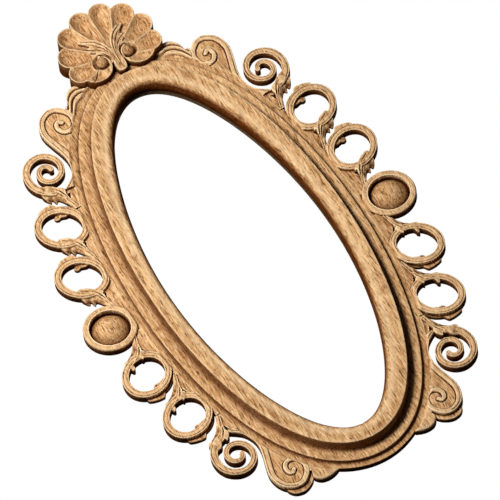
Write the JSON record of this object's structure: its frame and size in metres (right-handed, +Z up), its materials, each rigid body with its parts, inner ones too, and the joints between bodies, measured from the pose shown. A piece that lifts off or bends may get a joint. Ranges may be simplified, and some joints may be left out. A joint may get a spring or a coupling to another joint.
{
  "type": "oval picture frame",
  "caption": "Upright oval carved wood picture frame with a stepped moulding, shell crest, scrolls, open rings, a clear pane, turn buttons and strap hangers.",
  "frame": {"origin": "centre of the oval on the plane of the wooden back face", "axes": "+Z up as hung, front faces -Y, +X to the viewer's right; the wall is at +Y"},
  "size_m": [0.4656, 0.0357, 0.7917],
  "materials": {
    "moulded_wood": "satin, grain along Z, darkened recesses",
    "carved_wood": "satin, carved, darkened recesses",
    "plain_wood": "sawn, unpolished",
    "clear_glass": "clear, polished",
    "brass_hardware": "worn satin"
  },
  "bodies": {
    "frame_body": {"cabochon_dome_left": "carved_wood", "cabochon_dome_right": "carved_wood", "cabochon_rim_left": "carved_wood", "cabochon_rim_right": "carved_wood", "crest_husk": "carved_wood", "crest_leaf_left": "carved_wood", "crest_leaf_right": "carved_wood", "crest_pearls": "carved_wood", "crest_shell": "carved_wood", "foot_lobe_left": "carved_wood", "foot_lobe_right": "carved_wood", "glazing_pane": "clear_glass", "hanger_plate_left": "brass_hardware", "hanger_plate_right": "brass_hardware", "hanger_screws": "brass_hardware", "joint_splines": "plain_wood", "lower_scroll_left": "carved_wood", "lower_scroll_right": "carved_wood", "lower_volute_left": "carved_wood", "lower_volute_right": "carved_wood", "moulding_left": "moulded_wood", "moulding_right": "moulded_wood", "ornament_dowels": "plain_wood", "retaining_slip": "plain_wood", "ring_1_left": "carved_wood", "ring_1_right": "carved_wood", "ring_2_left": "carved_wood", "ring_2_right": "carved_wood", "ring_3_left": "carved_wood", "ring_3_right": "carved_wood", "ring_4_left": "carved_wood", "ring_4_right": "carved_wood", "turn_button_screws": "brass_hardware", "upper_scroll_left": "carved_wood", "upper_scroll_right": "carved_wood", "upper_volute_left": "carved_wood", "upper_volute_right": "carved_wood"},
    "turn_button_1": {"turn_button_1": "brass_hardware"},
    "turn_button_2": {"turn_button_2": "brass_hardware"},
    "turn_button_3": {"turn_button_3": "brass_hardware"},
    "turn_button_4": {"turn_button_4": "brass_hardware"},
    "turn_button_5": {"turn_button_5": "brass_hardware"},
    "turn_button_6": {"turn_button_6": "brass_hardware"},
    "hanger_ring_left": {"hanger_ring_left": "brass_hardware"},
    "hanger_ring_right": {"hanger_ring_right": "brass_hardware"}
  },
  "joints": [
    {"name": "turn_button_1_turn", "type": "hinge", "parent": "frame_body", "child": "turn_button_1", "pos_m": [0.1307, 0.0011, 0], "axis": [0, 1, 0], "continuous": true},
    {"name": "turn_button_2_turn", "type": "hinge", "parent": "frame_body", "child": "turn_button_2", "pos_m": [0.06706, 0.0011, 0.27604], "axis": [0, 1, 0], "continuous": true},
    {"name": "turn_button_3_turn", "type": "hinge", "parent": "frame_body", "child": "turn_button_3", "pos_m": [-0.06706, 0.0011, 0.27604], "axis": [0, 1, 0], "continuous": true},
    {"name": "turn_button_4_turn", "type": "hinge", "parent": "frame_body", "child": "turn_button_4", "pos_m": [-0.1307, 0.0011, 0], "axis": [0, 1, 0], "continuous": true},
    {"name": "turn_button_5_turn", "type": "hinge", "parent": "frame_body", "child": "turn_button_5", "pos_m": [-0.06706, 0.0011, -0.27604], "axis": [0, 1, 0], "continuous": true},
    {"name": "turn_button_6_turn", "type": "hinge", "parent": "frame_body", "child": "turn_button_6", "pos_m": [0.06706, 0.0011, -0.27604], "axis": [0, 1, 0], "continuous": true},
    {"name": "hanger_ring_left_swing", "type": "hinge", "parent": "frame_body", "child": "hanger_ring_left", "pos_m": [-0.12867, 0.00506, 0.15033], "axis": [1, 0, 0], "range_deg": [-4, 188]},
    {"name": "hanger_ring_right_swing", "type": "hinge", "parent": "frame_body", "child": "hanger_ring_right", "pos_m": [0.12867, 0.00506, 0.15033], "axis": [1, 0, 0], "range_deg": [-4, 188]}
  ]
}
